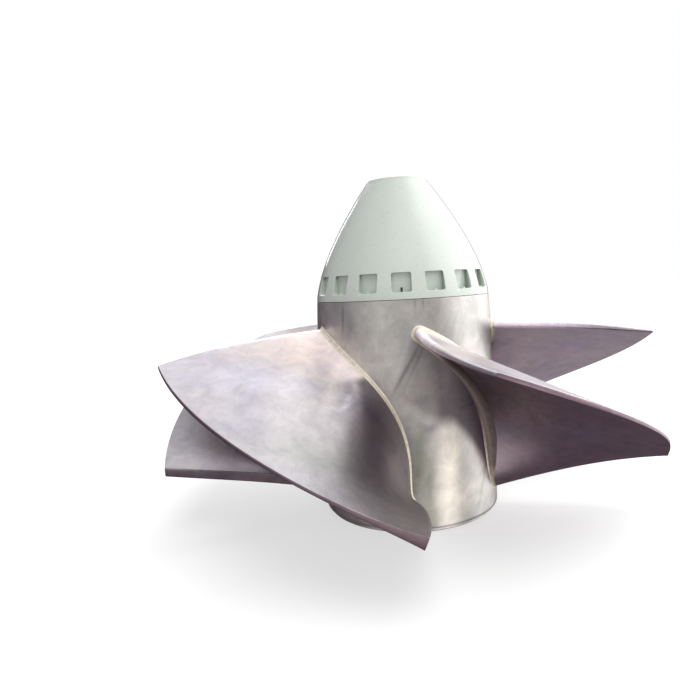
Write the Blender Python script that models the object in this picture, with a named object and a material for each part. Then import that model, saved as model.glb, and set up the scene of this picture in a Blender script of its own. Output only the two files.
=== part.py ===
"""Propeller-type water turbine runner, standing on its coupling face.

The hub is a vertical barrel, +Z is its axis, and the coupling face is at z = 0.
Five welded blades wrap around the barrel. The ogive cone on top has a ring of
bolt pockets round its base. Angles are measured about +Z from -Y towards +X.
"""
import math

import bmesh
import bpy

# Hub
HUB_RADIUS = 0.500
HUB_WALL = 0.060
HUB_BOTTOM = 0.020
HUB_TOP = 1.2025
HUB_TOP_RADIUS = 0.4935
HUB_TAPER_START = 1.080
SPIGOT_RADIUS = 0.485
COUPLING_TOP = 0.120
EDGE_CHAMFER = 0.004
GAP = 0.0003

# Blades
BLADE_COUNT = 5
BLADE_PITCH = math.tau / BLADE_COUNT
TIP_RADIUS = 1.375
FIRST_BLADE_TURN = math.radians(-72.0)
CHORD_STEPS = 32
SPAN_STEPS = 7

# Each section follows a curve with four control points from the leading edge
# down to the trailing edge: their angles in degrees and their heights. Its
# thickness is stated at the leading edge, at the middle and at the trailing edge.
ROOT_SECTION = {
    "angles": (6.8, 90.5, 54.7, 71.8),
    "heights": (1.040, 0.6205, 0.2065, 0.1495),
    "lead_thickness": 0.044,
    "mid_thickness": 0.106,
    "trail_thickness": 0.067,
}
TIP_SECTION = {
    "angles": (13.3, 49.2, 62.6, 74.0),
    "heights": (0.950, 0.625, 0.475, 0.354),
    "lead_thickness": 0.018,
    "mid_thickness": 0.015,
    "trail_thickness": 0.054,
}
BACKWARD_SWEEP_LEAD_EDGE = math.radians(2.9)
FORWARD_SWEEP_TRAIL_EDGE = math.radians(2.3)
CROWN_LEAD_EDGE = 0.0135
CROWN_TRAIL_EDGE = 0.0205
LEAD_NOSE_STEPS = (0.0, 0.004, 0.015)
LEAD_NOSE_FLAT = 0.2
TRAIL_NOSE_LENGTH = 0.004
TRAIL_STEPS = (0.0, TRAIL_NOSE_LENGTH, 0.020)
TRAIL_NOSE_FLAT = 0.8
TANGENT_STEP = 0.002
CAP_ROWS = 4
ROOT_GAP = 0.0006

# Fillet weld round each blade root
WELD_LEG = 0.024
WELD_HOLLOW = 0.36

# Cone
CONE_TOP = 1.864
CONE_TOP_RADIUS = 0.1675
CONE_CURVE = 1.5
CONE_TOP_ROUNDING = 0.006
CONE_WALL = 0.012
END_PLATE_THICKNESS = 0.016
POCKET_COUNT = 17
POCKET_PITCH = math.tau / POCKET_COUNT
POCKET_WIDTH = 0.101
POCKET_BOTTOM = 1.2405
POCKET_TOP = 1.338
POCKET_CORNER = 0.010
POCKET_CORNER_STEPS = (0.0, 0.08, 0.35, 1.0)
POCKET_BACK_RADIUS = 0.445
BACK_WALL = 0.012
BASE_RING_INNER_RADIUS = 0.415
ROOF_THICKNESS = 0.012

ROUND_STEPS = 80


def clear_scene():
    for item in list(bpy.data.objects):
        bpy.data.objects.remove(item, do_unlink=True)


def make_material(name, color, roughness, metallic):
    material = bpy.data.materials.new(name)
    material.use_nodes = True
    shader = material.node_tree.nodes["Principled BSDF"]
    shader.inputs["Base Color"].default_value = (*color, 1.0)
    shader.inputs["Roughness"].default_value = roughness
    shader.inputs["Metallic"].default_value = metallic
    return material


def add_object(name, bm, material, smooth_angle=35.0):
    bmesh.ops.recalc_face_normals(bm, faces=bm.faces)
    mesh = bpy.data.meshes.new(name)
    bm.to_mesh(mesh)
    bm.free()
    mesh.shade_smooth()
    mesh.set_sharp_from_angle(angle=math.radians(smooth_angle))
    mesh.materials.append(material)
    item = bpy.data.objects.new(name, mesh)
    bpy.context.scene.collection.objects.link(item)
    return item


def at_angle(radius, angle, height):
    """The point at a radius and a height, turned from -Y towards +X."""
    return (radius * math.sin(angle), -radius * math.cos(angle), height)


def bridge(bm, first, second, closed=True):
    count = len(first)
    for i in range(count if closed else count - 1):
        j = (i + 1) % count
        bm.faces.new((first[i], first[j], second[j], second[i]))


def turned_ring(profile):
    """A closed (radius, height) outline off the axis, turned round the axis."""
    bm = bmesh.new()
    loops = []
    for step in range(ROUND_STEPS):
        angle = math.tau * step / ROUND_STEPS
        loops.append([bm.verts.new(at_angle(r, angle, z)) for r, z in profile])
    for step in range(ROUND_STEPS):
        bridge(bm, loops[step], loops[(step + 1) % ROUND_STEPS])
    return bm


def turned_disc(profile):
    """A (radius, height) outline from the bottom to the top, closed on the axis."""
    bm = bmesh.new()
    rings = []
    for r, z in profile:
        angles = [math.tau * step / ROUND_STEPS for step in range(ROUND_STEPS)]
        rings.append([bm.verts.new(at_angle(r, a, z)) for a in angles])
    for lower, upper in zip(rings, rings[1:]):
        bridge(bm, lower, upper)
    bm.faces.new(rings[0])
    bm.faces.new(rings[-1])
    return bm


def make_hub(steel):
    inner = HUB_RADIUS - HUB_WALL
    c = EDGE_CHAMFER
    profile = [
        (inner, HUB_BOTTOM),
        (HUB_RADIUS - c, HUB_BOTTOM),
        (HUB_RADIUS, HUB_BOTTOM + c),
        (HUB_RADIUS, HUB_TAPER_START),
        (HUB_TOP_RADIUS, HUB_TOP),
        (inner, HUB_TOP),
    ]
    add_object("hub_barrel", turned_ring(profile), steel)
    plate = inner - GAP
    shoulder = HUB_BOTTOM - GAP
    profile = [
        (SPIGOT_RADIUS - c, 0.0),
        (SPIGOT_RADIUS, c),
        (SPIGOT_RADIUS, shoulder),
        (plate, shoulder),
        (plate, COUPLING_TOP),
    ]
    add_object("coupling_plate", turned_disc(profile), steel)


def mix(a, b, t):
    return a + (b - a) * t


def blend(key, span):
    return mix(ROOT_SECTION[key], TIP_SECTION[key], span)


def curve_value(key, chord, span):
    """One coordinate of the section's curve, between root and tip."""
    near = 1.0 - chord
    weights = (near ** 3, 3.0 * near ** 2 * chord, 3.0 * near * chord ** 2, chord ** 3)
    pairs = zip(ROOT_SECTION[key], TIP_SECTION[key])
    return sum(w * mix(a, b, span) for w, (a, b) in zip(weights, pairs))


def camber_point(chord, span):
    """The angle and height of the blade's middle surface."""
    edge_bow = 4.0 * span * (1.0 - span)
    angle = math.radians(curve_value("angles", chord, span))
    angle += FORWARD_SWEEP_TRAIL_EDGE * edge_bow * chord ** 4
    angle -= BACKWARD_SWEEP_LEAD_EDGE * edge_bow * (1.0 - chord) ** 4
    height = curve_value("heights", chord, span)
    height += edge_bow * mix(CROWN_LEAD_EDGE, CROWN_TRAIL_EDGE, chord)
    return angle, height


def thickness(chord, span):
    lead = blend("lead_thickness", span)
    middle = blend("mid_thickness", span)
    trail = blend("trail_thickness", span)
    body = (4.0 * chord * (1.0 - chord)) ** 0.8
    ends = mix(lead, trail, chord)
    return mix(ends, middle, body)


def section_lengths(span, steps=240):
    """The distance run along a section's curve, at even steps of its parameter."""
    points = [unrolled_point(i / steps, span) for i in range(steps + 1)]
    lengths = [0.0]
    for start, end in zip(points, points[1:]):
        lengths.append(lengths[-1] + math.dist(start, end))
    return lengths


def chord_at(lengths, wanted):
    """The curve parameter at a distance along the section."""
    steps = len(lengths) - 1
    for i in range(steps):
        if lengths[i + 1] >= wanted:
            part = (wanted - lengths[i]) / (lengths[i + 1] - lengths[i])
            return (i + part) / steps
    return 1.0


def chord_stations(span):
    """Even steps along a section, with short ones that round its two edges.

    Each station is a curve parameter and the share of the thickness it keeps.
    """
    lengths = section_lengths(span)
    total = lengths[-1]
    even = [total * i / CHORD_STEPS for i in range(1, CHORD_STEPS)]
    ends = [total - step for step in reversed(TRAIL_STEPS)]
    stations = []
    for place in list(LEAD_NOSE_STEPS) + even + ends:
        lead = edge_fullness(place, LEAD_NOSE_STEPS[-1], LEAD_NOSE_FLAT)
        trail = edge_fullness(total - place, TRAIL_NOSE_LENGTH, TRAIL_NOSE_FLAT)
        stations.append((chord_at(lengths, place), min(lead, trail)))
    return stations


def edge_fullness(distance, nose_length, flat):
    """The share of the thickness this close to an edge, which has round corners."""
    short = max(0.0, 1.0 - distance / nose_length)
    return mix(flat, 1.0, math.sqrt(1.0 - short ** 2))


def unrolled_point(chord, span):
    """A point of the middle surface on its cylinder, unrolled flat."""
    angle, height = camber_point(chord, span)
    return mix(HUB_RADIUS, TIP_RADIUS, span) * angle, height


def section_outline(radius, outset=0.0):
    """The closed blade outline on the cylinder of this radius, unrolled flat."""
    span = (radius - HUB_RADIUS) / (TIP_RADIUS - HUB_RADIUS)
    upper = []
    lower = []
    for chord, fullness in chord_stations(span):
        x, z = unrolled_point(chord, span)
        before = unrolled_point(max(chord - TANGENT_STEP, 0.0), span)
        after = unrolled_point(min(chord + TANGENT_STEP, 1.0), span)
        run, rise = direction(before, after)
        half = 0.5 * thickness(chord, span) * fullness
        upper.append((x - rise * half, z + run * half))
        lower.append((x + rise * half, z - run * half))
    outline = upper + lower[::-1]
    return outset_outline(outline, outset)


def direction(start, end):
    run = end[0] - start[0]
    rise = end[1] - start[1]
    length = math.hypot(run, rise)
    return run / length, rise / length


def outset_outline(outline, outset):
    """The outline moved outwards, with every edge at the same distance."""
    if outset == 0.0:
        return outline
    count = len(outline)
    moved = []
    for i in range(count):
        into = direction(outline[i - 1], outline[i])
        onward = direction(outline[i], outline[(i + 1) % count])
        reach = outset / (1.0 + into[0] * onward[0] + into[1] * onward[1])
        x = outline[i][0] - (into[1] + onward[1]) * reach
        y = outline[i][1] + (into[0] + onward[0]) * reach
        moved.append((x, y))
    return moved


def wrap_outline(outline, radius, turn):
    return [at_angle(radius, x / radius + turn, z) for x, z in outline]


def cap_section(bm, loop, outline, radius, turn):
    """Closes a blade's end on its cylinder, with rows of points across it."""
    last = len(outline) // 2 - 1
    upper = loop[:last + 1]
    lower = loop[:last:-1]
    flat_upper = outline[:last + 1]
    flat_lower = outline[:last:-1]
    rows = [upper[1:-1]]
    for row in range(1, CAP_ROWS):
        part = row / CAP_ROWS
        flat = []
        for a, b in zip(flat_upper, flat_lower):
            flat.append((mix(a[0], b[0], part), mix(a[1], b[1], part)))
        points = wrap_outline(flat, radius, turn)
        rows.append([bm.verts.new(point) for point in points[1:-1]])
    rows.append(lower[1:-1])
    for first, second in zip(rows, rows[1:]):
        bridge(bm, first, second, closed=False)
    for end, near in ((0, 0), (last, -1)):
        bm.faces.new([upper[end], lower[end]] + [row[near] for row in reversed(rows)])


def make_blade(index, turn, steel):
    bm = bmesh.new()
    root = HUB_RADIUS + ROOT_GAP
    weld_edge = root + WELD_LEG
    radii = [root]
    radii += [mix(weld_edge, TIP_RADIUS, i / SPAN_STEPS) for i in range(SPAN_STEPS + 1)]
    outlines = [section_outline(radius) for radius in radii]
    loops = []
    for radius, outline in zip(radii, outlines):
        points = wrap_outline(outline, radius, turn)
        loops.append([bm.verts.new(point) for point in points])
    for inner, outer in zip(loops, loops[1:]):
        bridge(bm, inner, outer)
    for end in (0, -1):
        cap_section(bm, loops[end], outlines[end], radii[end], turn)
    add_object(f"blade_{index}", bm, steel, smooth_angle=50.0)


def make_root_weld(index, turn, steel):
    low = HUB_RADIUS + ROOT_GAP
    middle = WELD_LEG * WELD_HOLLOW
    corners = [
        (low, ROOT_GAP),
        (low + WELD_LEG, ROOT_GAP),
        (low + middle, ROOT_GAP + middle),
        (low, ROOT_GAP + WELD_LEG),
    ]
    bm = bmesh.new()
    loops = []
    for radius, outset in corners:
        points = wrap_outline(section_outline(radius, outset), radius, turn)
        loops.append([bm.verts.new(point) for point in points])
    for i in range(len(loops)):
        bridge(bm, loops[i], loops[(i + 1) % len(loops)])
    add_object(f"root_weld_{index}", bm, steel)


def cone_radius(height):
    """The ogive: full width at the hub, then ever steeper up to the flat top."""
    rise = (height - HUB_TOP) / (CONE_TOP - HUB_TOP)
    return mix(HUB_TOP_RADIUS, CONE_TOP_RADIUS, rise ** CONE_CURVE)


def make_cone_base_ring(paint):
    bottom = HUB_TOP + GAP
    top = POCKET_BOTTOM - GAP
    profile = [
        (BASE_RING_INNER_RADIUS, bottom),
        (cone_radius(bottom), bottom),
        (cone_radius(top), top),
        (BASE_RING_INNER_RADIUS, top),
    ]
    add_object("cone_base_ring", turned_ring(profile), paint)


def corner_flare(height):
    """How far a land reaches into the rounded corners of its pockets."""
    near = min(height - POCKET_BOTTOM, POCKET_TOP - height)
    if near >= POCKET_CORNER:
        return 0.0
    depth = POCKET_CORNER - near
    return POCKET_CORNER - math.sqrt(POCKET_CORNER ** 2 - depth ** 2)


def land_section(height, turn):
    """A level cut through one land: parallel pocket sides, cone face outside."""
    outer = cone_radius(height)
    half_pitch = POCKET_PITCH / 2.0
    half_width = POCKET_WIDTH / 2.0 - corner_flare(height)
    points = []
    inner = POCKET_BACK_RADIUS
    corners = [(inner, -1), (outer, -1), (outer, 0), (outer, 1), (inner, 1), (inner, 0)]
    for radius, side in corners:
        edge = half_pitch - math.asin(half_width / radius)
        points.append(at_angle(radius, turn + side * edge, height))
    return points


def land_heights():
    low = POCKET_BOTTOM
    high = POCKET_TOP - GAP
    curve = [POCKET_CORNER * part for part in POCKET_CORNER_STEPS]
    rising = [low + step for step in curve]
    middle = [(POCKET_BOTTOM + POCKET_TOP) / 2.0]
    falling = [POCKET_TOP - step for step in reversed(curve[1:])]
    return rising + middle + falling + [high]


def make_land(index, turn, paint):
    bm = bmesh.new()
    rings = []
    for height in land_heights():
        points = land_section(height, turn)
        rings.append([bm.verts.new(point) for point in points])
    for lower, upper in zip(rings, rings[1:]):
        bridge(bm, lower, upper)
    bm.faces.new(rings[0])
    bm.faces.new(rings[-1])
    add_object(f"cone_land_{index:02d}", bm, paint)


def make_pocket_back_wall(paint):
    outer = POCKET_BACK_RADIUS - 2.0 * GAP
    inner = outer - BACK_WALL
    top = POCKET_TOP - GAP
    profile = [
        (inner, POCKET_BOTTOM),
        (outer, POCKET_BOTTOM),
        (outer, top),
        (inner, top),
    ]
    add_object("pocket_back_wall", turned_ring(profile), paint)


def ogive_line(bottom, steps):
    """Points up the cone's outer face, from a height to the flat top."""
    heights = [mix(bottom, CONE_TOP, i / steps) for i in range(steps + 1)]
    return [(cone_radius(height), height) for height in heights]


def make_cone_shell(paint):
    outside = ogive_line(POCKET_TOP, 10)
    rim_radius, rim_height = outside.pop()
    rounding_start = rim_height - CONE_TOP_ROUNDING
    outside.append((cone_radius(rounding_start), rounding_start))
    outside.append((rim_radius - CONE_TOP_ROUNDING, rim_height))
    inside = [(r - CONE_WALL, z) for r, z in ogive_line(POCKET_TOP + ROOF_THICKNESS, 4)]
    inside.reverse()
    roof_inner = BASE_RING_INNER_RADIUS
    roof_top = POCKET_TOP + ROOF_THICKNESS
    profile = outside + inside + [(roof_inner, roof_top), (roof_inner, POCKET_TOP)]
    add_object("cone_shell", turned_ring(profile), paint)


def make_cone_end_plate(paint):
    bottom = CONE_TOP - END_PLATE_THICKNESS
    radius = CONE_TOP_RADIUS - CONE_WALL - GAP
    profile = [(radius, bottom), (radius, CONE_TOP)]
    add_object("cone_end_plate", turned_disc(profile), paint)


def main():
    clear_scene()
    steel = make_material("ground_steel", (0.56, 0.54, 0.55), 0.38, 1.0)
    weld = make_material("weld_bead", (0.72, 0.70, 0.66), 0.34, 1.0)
    paint = make_material("pale_green_paint", (0.70, 0.80, 0.72), 0.30, 0.0)
    make_hub(steel)
    for number in range(BLADE_COUNT):
        turn = FIRST_BLADE_TURN + number * BLADE_PITCH
        make_blade(number + 1, turn, steel)
        make_root_weld(number + 1, turn, weld)
    make_cone_base_ring(paint)
    for number in range(POCKET_COUNT):
        turn = (number + 0.5) * POCKET_PITCH
        make_land(number + 1, turn, paint)
    make_pocket_back_wall(paint)
    make_cone_shell(paint)
    make_cone_end_plate(paint)


main()
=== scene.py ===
"""Looks of the turbine runner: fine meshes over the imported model, materials, light and camera.

Angles are measured about +Z from -Y towards +X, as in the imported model. Lengths are in metres.
"""
import math

import bmesh
import bpy
import numpy as np
from mathutils import Matrix, Vector


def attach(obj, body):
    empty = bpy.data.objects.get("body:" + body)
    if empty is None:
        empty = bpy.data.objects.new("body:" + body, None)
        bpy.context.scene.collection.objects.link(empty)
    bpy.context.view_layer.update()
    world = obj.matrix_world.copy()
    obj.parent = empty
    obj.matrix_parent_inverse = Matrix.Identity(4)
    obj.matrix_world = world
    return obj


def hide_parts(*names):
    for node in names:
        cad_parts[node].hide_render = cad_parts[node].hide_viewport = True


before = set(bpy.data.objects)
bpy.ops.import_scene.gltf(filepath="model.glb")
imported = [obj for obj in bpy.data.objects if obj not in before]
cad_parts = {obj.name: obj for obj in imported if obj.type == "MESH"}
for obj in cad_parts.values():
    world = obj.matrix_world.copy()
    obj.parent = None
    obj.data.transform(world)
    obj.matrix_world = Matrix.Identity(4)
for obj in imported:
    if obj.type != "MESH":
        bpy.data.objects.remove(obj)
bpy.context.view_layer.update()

# Hub
HUB_RADIUS = 0.500
HUB_INNER = 0.440
HUB_BOTTOM = 0.020
HUB_TOP = 1.2025
HUB_TOP_RADIUS = 0.4935
HUB_TAPER_START = 1.080
SPIGOT_RADIUS = 0.485
EDGE_CHAMFER = 0.004
TOP_ROUNDING = 0.0015
TOP_LIP = 0.004
AXIS_HOLE = 0.002
GAP = 0.0003

# Blades: four control points from the leading to the trailing edge, at the root and at the tip
TIP_RADIUS = 1.375
BLADE_COUNT = 5
BLADE_PITCH = math.tau / BLADE_COUNT
FIRST_BLADE_TURN = math.radians(-72.0)
ROOT_ANGLES = (6.8, 90.5, 54.7, 71.8)
TIP_ANGLES = (13.3, 49.2, 62.6, 74.0)
ROOT_HEIGHTS = (1.040, 0.6205, 0.2065, 0.1495)
TIP_HEIGHTS = (0.950, 0.625, 0.475, 0.354)
ROOT_THICKNESS = (0.044, 0.106, 0.067)
TIP_THICKNESS = (0.018, 0.015, 0.054)
SWEEP_LEAD_EDGE = math.radians(2.9)
SWEEP_TRAIL_EDGE = math.radians(2.3)
CROWN_LEAD_EDGE = 0.0135
CROWN_TRAIL_EDGE = 0.0205
LEAD_NOSE_LENGTH = 0.015
LEAD_NOSE_FLAT = 0.2
TRAIL_NOSE_LENGTH = 0.004
TRAIL_NOSE_FLAT = 0.8
TANGENT_STEP = 0.002
TIP_BEVEL = 0.0015
THICKNESS_POWER = 0.8

# Cone
CONE_TOP = 1.864
CONE_TOP_RADIUS = 0.1675
CONE_CURVE = 1.5
CONE_TOP_ROUNDING = 0.006
POCKET_COUNT = 17
POCKET_PITCH = math.tau / POCKET_COUNT
POCKET_WIDTH = 0.101
POCKET_BOTTOM = 1.2405
POCKET_TOP = 1.338
POCKET_CORNER = 0.010
POCKET_BACK_RADIUS = 0.445
POCKET_MIDDLE = (POCKET_BOTTOM + POCKET_TOP) / 2.0
POCKET_BEVEL = 0.0016
POCKET_OVERLAP = 0.001
BAND_BOTTOM = HUB_TOP + 0.0015
BAND_TOP = POCKET_TOP + 0.028
LID_RADIUS = CONE_TOP_RADIUS - 0.0125
LID_DROP = 0.0004
LID_GAP = 0.001
LID_BEVEL = 0.0007
SEAM_DEPTH = 0.0015

# Bolts
BOLT_CIRCLE = 0.468
STUD_CIRCLE = 0.478
SCREW_HEAD_RADIUS = 0.0135
SCREW_HEAD_HEIGHT = 0.0065
SCREW_SOCKET_RADIUS = 0.0070
SCREW_SOCKET_FLOOR = 0.0020
SCREW_BEVEL = 0.001
SCREW_SIDES = 24
STUD_RADIUS = 0.0062
STUD_HEIGHT = 0.0225
STUD_BEVEL = (0.0010, 0.0015)
STUD_SIDES = 16

# Fineness of the meshes
CHORD_STEPS = 96
LEAD_NOSE_SHARES = (0.0, 0.03, 0.12, 0.3, 0.6, 1.0)
TRAIL_NOSE_SHARES = (0.0, 0.06, 0.3, 1.0)
LENGTH_STEPS = 600
SPAN_STEPS = 44
SPAN_CROWDING = 0.9
ROUND_STEPS = 180
HUB_STEPS = 480
HUB_ROWS = 96
CONE_ROWS = 40
CONE_RIM_STEPS = 5
WELD_RINGS = 12
WINDOW_POINTS = 6
JOIN_DISTANCE = 0.0002


# Mesh helpers

def new_piece(name, points, faces, material, uvs=None, tint=None, sharp=40.0):
    """A mesh piece on the one body, with optional UVs per corner, and a tint and a matt share per point."""
    mesh = bpy.data.meshes.new(name)
    mesh.from_pydata([tuple(p) for p in points], [], faces)
    if uvs is not None:
        layer = mesh.uv_layers.new(name="flat")
        layer.data.foreach_set("uv", np.asarray(uvs, np.float32).ravel())
    if tint is not None:
        layer = mesh.attributes.new("tint", "FLOAT_COLOR", "POINT")
        if tint.shape[1] == 3:
            tint = np.concatenate([tint, np.zeros((len(tint), 1))], 1)
        layer.data.foreach_set("color", np.clip(tint, 0.0, 2.2).astype(np.float32).ravel())
    mesh.shade_smooth()
    mesh.set_sharp_from_angle(angle=math.radians(sharp))
    mesh.materials.append(material)
    piece = bpy.data.objects.new(name, mesh)
    bpy.context.scene.collection.objects.link(piece)
    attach(piece, "root")
    return piece


def at_angle(radius, angle, height):
    """Points at a radius, an angle from -Y towards +X, and a height."""
    return np.stack([radius * np.sin(angle), -radius * np.cos(angle), height + 0.0 * angle], -1)


def grid_faces(rows, columns, closed=False):
    """Quads over a grid of points stored row after row."""
    faces = []
    span = columns if closed else columns - 1
    for i in range(rows - 1):
        for j in range(span):
            k = (j + 1) % columns
            faces.append((i * columns + j, i * columns + k, (i + 1) * columns + k, (i + 1) * columns + j))
    return faces


def turned(name, profile, material, steps=ROUND_STEPS, tint=None):
    """A (radius, height) line turned about the axis, with UVs in metres."""
    profile = np.asarray(profile, float)
    angles = np.linspace(0.0, math.tau, steps + 1)
    along = np.concatenate([[0.0], np.cumsum(np.hypot(*np.diff(profile, axis=0).T))])
    rings = [at_angle(r, angles[:-1], z) for r, z in profile]
    uvs = []
    for low, high in zip(along, along[1:]):
        for a, b in zip(angles * HUB_RADIUS, angles[1:] * HUB_RADIUS):
            uvs += [(a, low), (b, low), (b, high), (a, high)]
    faces = grid_faces(len(profile), steps, closed=True)
    tints = np.ones((len(profile) * steps, 3))
    if tint is not None:
        tints = np.concatenate([tint(angles[:-1], z) for _, z in profile])
    return new_piece(name, np.concatenate(rings), faces, material, uvs, tints, 30.0)


def mix(a, b, t):
    """The value a share t of the way from a to b."""
    return a + (b - a) * t


def smooth(value, low, high):
    """A soft step from 0 at low to 1 at high."""
    t = np.clip((value - low) / (high - low), 0.0, 1.0)
    return t * t * (3.0 - 2.0 * t)


def spots(x, y, table):
    """Soft oval spots added up: centre, tilt in degrees, two half widths, amounts of red, green, blue."""
    total = np.zeros((*np.broadcast(x, y).shape, 3))
    for cx, cy, tilt, wide, high, amounts in table:
        c, s = math.cos(math.radians(tilt)), math.sin(math.radians(tilt))
        along = ((x - cx) * c + (y - cy) * s) / wide
        across = ((y - cy) * c - (x - cx) * s) / high
        total += np.exp(-along ** 2 - across ** 2)[..., None] * amounts
    return total


# Blade shape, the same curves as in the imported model

def curve_value(root, tip, chord, span):
    """A cubic curve along the chord, between the root's and the tip's control values."""
    near = 1.0 - chord
    weights = (near ** 3, 3.0 * near ** 2 * chord, 3.0 * near * chord ** 2, chord ** 3)
    return sum(w * mix(a, b, span) for w, a, b in zip(weights, root, tip))


def middle_line(chord, span):
    """The blade's middle surface on one cylinder, unrolled flat."""
    edge_bow = 4.0 * span * (1.0 - span)
    angle = np.radians(curve_value(ROOT_ANGLES, TIP_ANGLES, chord, span))
    angle = angle + SWEEP_TRAIL_EDGE * edge_bow * chord ** 4
    angle = angle - SWEEP_LEAD_EDGE * edge_bow * (1.0 - chord) ** 4
    height = curve_value(ROOT_HEIGHTS, TIP_HEIGHTS, chord, span)
    height = height + edge_bow * mix(CROWN_LEAD_EDGE, CROWN_TRAIL_EDGE, chord)
    return np.stack([mix(HUB_RADIUS, TIP_RADIUS, span) * angle, height], -1)


def thickness(chord, span):
    """Even from edge to edge at first, and fuller in the middle of the chord."""
    lead, middle, trail = (mix(a, b, span) for a, b in zip(ROOT_THICKNESS, TIP_THICKNESS))
    body = (4.0 * chord * (1.0 - chord)) ** THICKNESS_POWER
    return mix(mix(lead, trail, chord), middle, body)


def chord_stations(span):
    """Curve parameters at even steps of length, closer at the two edges."""
    fine = np.linspace(0.0, 1.0, LENGTH_STEPS)
    line = middle_line(fine, span)
    length = np.concatenate([[0.0], np.cumsum(np.hypot(*np.diff(line, axis=0).T))])
    total = length[-1]
    lead = LEAD_NOSE_LENGTH * np.array(LEAD_NOSE_SHARES)
    trail = TRAIL_NOSE_LENGTH * np.array(TRAIL_NOSE_SHARES)
    inner = np.linspace(0.0, total, CHORD_STEPS + 1)[2:-1]
    places = np.concatenate([lead, inner, total - trail[::-1]])
    return np.interp(places, length, fine), places, total


def fullness(distance, nose_length, flat):
    """The share of the thickness near an edge, which ends in a round nose with a flat."""
    short = np.clip(1.0 - distance / nose_length, 0.0, 1.0)
    return mix(flat, 1.0, np.sqrt(1.0 - short ** 2))


def section(span, thin=0.0):
    """The closed blade outline on one cylinder, unrolled flat, with its runs and chords."""
    chord, places, total = chord_stations(span)
    middle = middle_line(chord, span)
    before = middle_line(np.maximum(chord - TANGENT_STEP, 0.0), span)
    tangent = middle_line(np.minimum(chord + TANGENT_STEP, 1.0), span) - before
    tangent /= np.linalg.norm(tangent, axis=1)[:, None]
    share = np.minimum(fullness(places, LEAD_NOSE_LENGTH, LEAD_NOSE_FLAT),
                       fullness(total - places, TRAIL_NOSE_LENGTH, TRAIL_NOSE_FLAT))
    half = 0.5 * thickness(chord, span) * share - thin
    side = np.stack([-tangent[:, 1], tangent[:, 0]], -1) * half[:, None]
    outline = np.vstack([middle + side, (middle - side)[::-1]])
    return outline, np.concatenate([places, places[::-1]]), np.concatenate([chord, chord[::-1]])


def wrap(outline, radius, turn):
    """A flat outline laid round the cylinder that it was unrolled from."""
    return at_angle(radius, outline[:, 0] / radius + turn, outline[:, 1])


def outward_normals(outline):
    """The outward direction at each point of a closed outline."""
    into = outline - np.roll(outline, 1, 0)
    into /= np.linalg.norm(into, axis=1)[:, None]
    onward = np.roll(into, -1, 0)
    run = into + onward
    run /= np.linalg.norm(run, axis=1)[:, None]
    return np.stack([-run[:, 1], run[:, 0]], -1)


# Where a blade's ground faces are lighter or darker, partly random tone and partly painted highlights and
# painted reflections: chord, span, tilt, half widths, amounts
UPPER_SPOTS = (
    (0.24, 0.30, 70.0, 0.16, 0.030, (0.40, 0.38, 0.34)),
    (0.23, 0.14, 60.0, 0.05, 0.012, (0.70, 0.68, 0.66)),
    (0.295, 0.32, 80.0, 0.06, 0.007, (0.60, 0.60, 0.62)),
    (0.27, 0.26, 75.0, 0.05, 0.006, (0.50, 0.50, 0.50)),
    (0.36, 0.20, 60.0, 0.06, 0.05, (-0.10, -0.12, -0.10)),
    (0.15, 0.55, 15.0, 0.05, 0.30, (0.06, 0.08, 0.13)),
    (0.08, 0.28, 0.0, 0.07, 0.22, (0.02, -0.05, -0.11)),
    (0.04, 0.62, 0.0, 0.03, 0.20, (-0.08, -0.13, -0.14)),
    (0.19, 0.70, 40.0, 0.03, 0.05, (-0.12, -0.12, -0.10)),
    (0.13, 0.44, 70.0, 0.02, 0.06, (-0.09, -0.09, -0.08)),
    (0.45, 0.78, 20.0, 0.12, 0.20, (-0.30, -0.26, -0.30)),
    (0.58, 0.30, 60.0, 0.08, 0.08, (0.20, 0.15, 0.12)),
)
LOWER_TINT = (1.02, 0.88, 0.96)
LOWER_SPOTS = (
    (0.30, 0.30, 20.0, 0.10, 0.16, (0.08, 0.08, 0.04)),
    (0.55, 0.60, -20.0, 0.14, 0.14, (0.06, 0.10, 0.18)),
    (0.42, 0.85, 15.0, 0.10, 0.10, (-0.08, -0.12, -0.12)),
    (0.70, 0.30, 10.0, 0.12, 0.14, (-0.10, -0.14, -0.12)),
    (0.12, 0.60, 5.0, 0.07, 0.16, (-0.02, -0.04, 0.08)),
    (0.10, 0.25, 5.0, 0.06, 0.12, (0.14, 0.10, 0.06)),
)
# Painted dark reflection: a wedge on the upper face, its reach in span by chord and its amounts; then
# painted light beside the root's top.
WEDGE_CHORDS = (0.19, 0.21, 0.30, 0.40, 0.52, 0.62, 0.80, 1.00)
WEDGE_SPANS = (0.00, 0.06, 0.21, 0.36, 0.56, 0.66, 0.74, 0.80)
WEDGE_PAINTED_REFLECTION = (-0.44, -0.48, -0.44, 0.0)
ROOT_PAINTED_LIGHT = (0.44, 0.35, 0.30, 0.78)
# Painted highlight on the nose near the root, and how far along the chord it reaches.
NOSE_PAINTED_HIGHLIGHT = (0.85, 0.84, 0.92, 0.75)
NOSE_REACH = 0.040
END_TINT = (0.46, 0.38, 0.41, 1.0)
# Painted shade: a lightness for each blade's whole tint, darkest on the fifth blade.
BLADE_PAINTED_SHADE = (1.0, 1.0, 0.92, 1.0, 0.70)


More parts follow.
